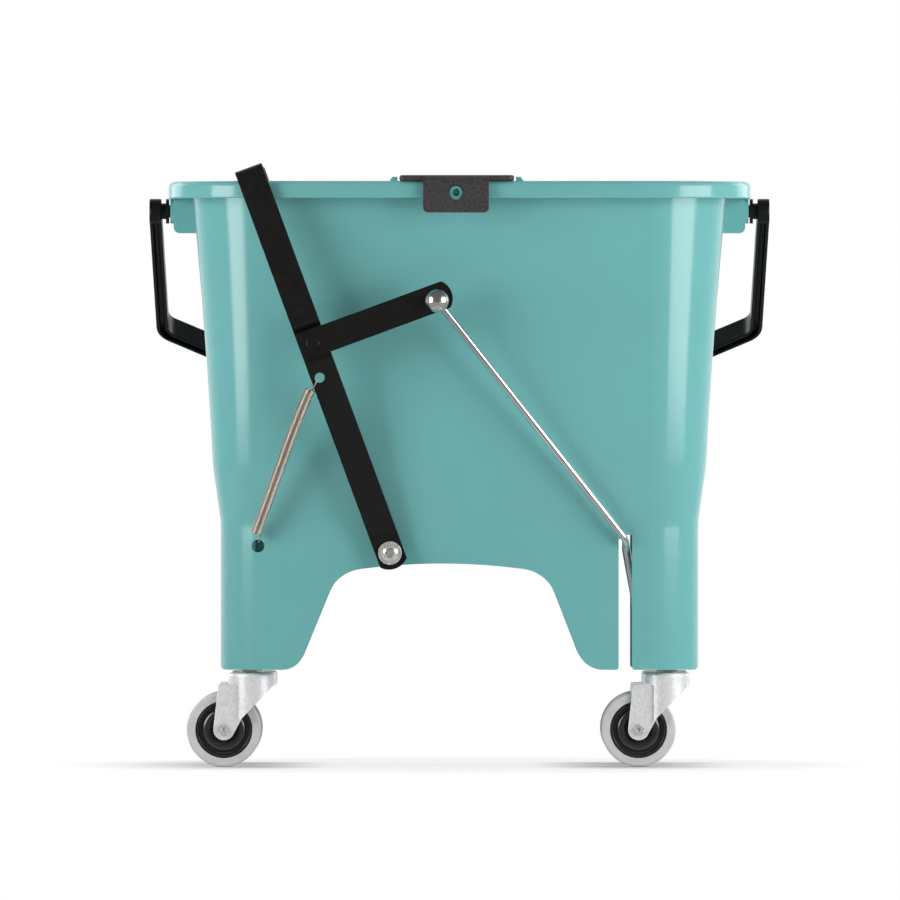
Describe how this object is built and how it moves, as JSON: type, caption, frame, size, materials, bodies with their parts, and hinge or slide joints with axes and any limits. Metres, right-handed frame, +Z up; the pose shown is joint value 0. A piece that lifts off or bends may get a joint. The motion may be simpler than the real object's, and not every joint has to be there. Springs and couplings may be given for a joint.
{
  "type": "mop bucket with press wringer",
  "caption": "Wheeled mop bucket with a foot-pressed wringer: a pedal rod pulls side levers that close a perforated jaw on the mop, springs open it, and a bail carries it.",
  "frame": {"origin": "on the floor below the middle of the tub", "axes": "+X along the tub towards the pedal end, -Y towards the working side, +Z up"},
  "size_m": [0.4366, 0.3234, 0.4226],
  "materials": {
    "tub_plastic": "satin",
    "black_plastic": "satin",
    "black_steel": "powder coat",
    "black_rubber": "matte",
    "bright_steel": "polished",
    "zinc_steel": "zinc plated",
    "spring_steel": "bright",
    "jaw_plastic": "satin",
    "hub_plastic": "satin",
    "tyre_rubber": "matte"
  },
  "bodies": {
    "bucket": {"tub": "tub_plastic", "hanger_bracket_front": "black_steel", "hanger_bracket_back": "black_steel", "fixed_jaw": "jaw_plastic", "fixed_jaw_screws": "zinc_steel", "fixed_jaw_nuts": "zinc_steel", "pivot_screws": "bright_steel", "pivot_nuts": "zinc_steel", "spring_front": "spring_steel", "spring_back": "spring_steel", "caster_stem_front_left": "zinc_steel", "caster_race_front_left": "zinc_steel", "caster_stem_front_right": "zinc_steel", "caster_race_front_right": "zinc_steel", "caster_stem_back_left": "zinc_steel", "caster_race_back_left": "zinc_steel", "caster_stem_back_right": "zinc_steel", "caster_race_back_right": "zinc_steel"},
    "press": {"lever_front": "black_steel", "lever_back": "black_steel", "arm_front": "black_steel", "arm_back": "black_steel", "arm_rivets": "black_steel", "pivot_bushes": "black_plastic", "moving_jaw": "jaw_plastic", "moving_jaw_screws": "zinc_steel", "moving_jaw_nuts": "zinc_steel"},
    "pedal": {"pedal_rod": "bright_steel", "pedal_tread": "black_rubber", "rod_caps": "bright_steel"},
    "handle": {"carry_handle": "black_plastic"},
    "swivel_front_left": {"caster_fork_front_left": "zinc_steel", "caster_axle_front_left": "zinc_steel", "caster_balls_front_left": "bright_steel"},
    "wheel_front_left": {"wheel_hub_front_left": "hub_plastic", "tyre_front_left": "tyre_rubber"},
    "swivel_front_right": {"caster_fork_front_right": "zinc_steel", "caster_axle_front_right": "zinc_steel", "caster_balls_front_right": "bright_steel"},
    "wheel_front_right": {"wheel_hub_front_right": "hub_plastic", "tyre_front_right": "tyre_rubber"},
    "swivel_back_left": {"caster_fork_back_left": "zinc_steel", "caster_axle_back_left": "zinc_steel", "caster_balls_back_left": "bright_steel"},
    "wheel_back_left": {"wheel_hub_back_left": "hub_plastic", "tyre_back_left": "tyre_rubber"},
    "swivel_back_right": {"caster_fork_back_right": "zinc_steel", "caster_axle_back_right": "zinc_steel", "caster_balls_back_right": "bright_steel"},
    "wheel_back_right": {"wheel_hub_back_right": "hub_plastic", "tyre_back_right": "tyre_rubber"}
  },
  "joints": [
    {"name": "press_lever", "type": "hinge", "parent": "bucket", "child": "press", "pos_m": [-0.04865, 0, 0.1498], "axis": [0, 1, 0], "range_deg": [0, 18], "stiffness_Nm_per_rad": 6, "springref_deg": -20.05, "deforming": ["spring_front", "spring_back"]},
    {"name": "pedal_link", "type": "hinge", "parent": "press", "child": "pedal", "pos_m": [-0.01565, 0, 0.32625], "axis": [0, 1, 0], "range_deg": [-1.4, 0.1]},
    {"name": "carry_handle_swing", "type": "hinge", "parent": "bucket", "child": "handle", "pos_m": [0, 0, 0.39], "axis": [1, 0, 0], "range_deg": [0, 252]},
    {"name": "caster_swivel_front_left", "type": "hinge", "parent": "bucket", "child": "swivel_front_left", "pos_m": [-0.14525, -0.08125, 0.066], "axis": [0, 0, 1], "continuous": true},
    {"name": "wheel_spin_front_left", "type": "hinge", "parent": "swivel_front_left", "child": "wheel_front_left", "pos_m": [-0.16505, -0.08125, 0.026], "axis": [0, 1, 0], "continuous": true},
    {"name": "caster_swivel_front_right", "type": "hinge", "parent": "bucket", "child": "swivel_front_right", "pos_m": [0.14525, -0.08125, 0.066], "axis": [0, 0, 1], "continuous": true},
    {"name": "wheel_spin_front_right", "type": "hinge", "parent": "swivel_front_right", "child": "wheel_front_right", "pos_m": [0.12545, -0.08125, 0.026], "axis": [0, 1, 0], "continuous": true},
    {"name": "caster_swivel_back_left", "type": "hinge", "parent": "bucket", "child": "swivel_back_left", "pos_m": [-0.14525, 0.08125, 0.066], "axis": [0, 0, 1], "continuous": true},
    {"name": "wheel_spin_back_left", "type": "hinge", "parent": "swivel_back_left", "child": "wheel_back_left", "pos_m": [-0.16505, 0.08125, 0.026], "axis": [0, 1, 0], "continuous": true},
    {"name": "caster_swivel_back_right", "type": "hinge", "parent": "bucket", "child": "swivel_back_right", "pos_m": [0.14525, 0.08125, 0.066], "axis": [0, 0, 1], "continuous": true},
    {"name": "wheel_spin_back_right", "type": "hinge", "parent": "swivel_back_right", "child": "wheel_back_right", "pos_m": [0.12545, 0.08125, 0.026], "axis": [0, 1, 0], "continuous": true}
  ],
  "couplings": [
    {"joint": "pedal_link", "follows": "press_lever", "ratio": -0.07}
  ]
}
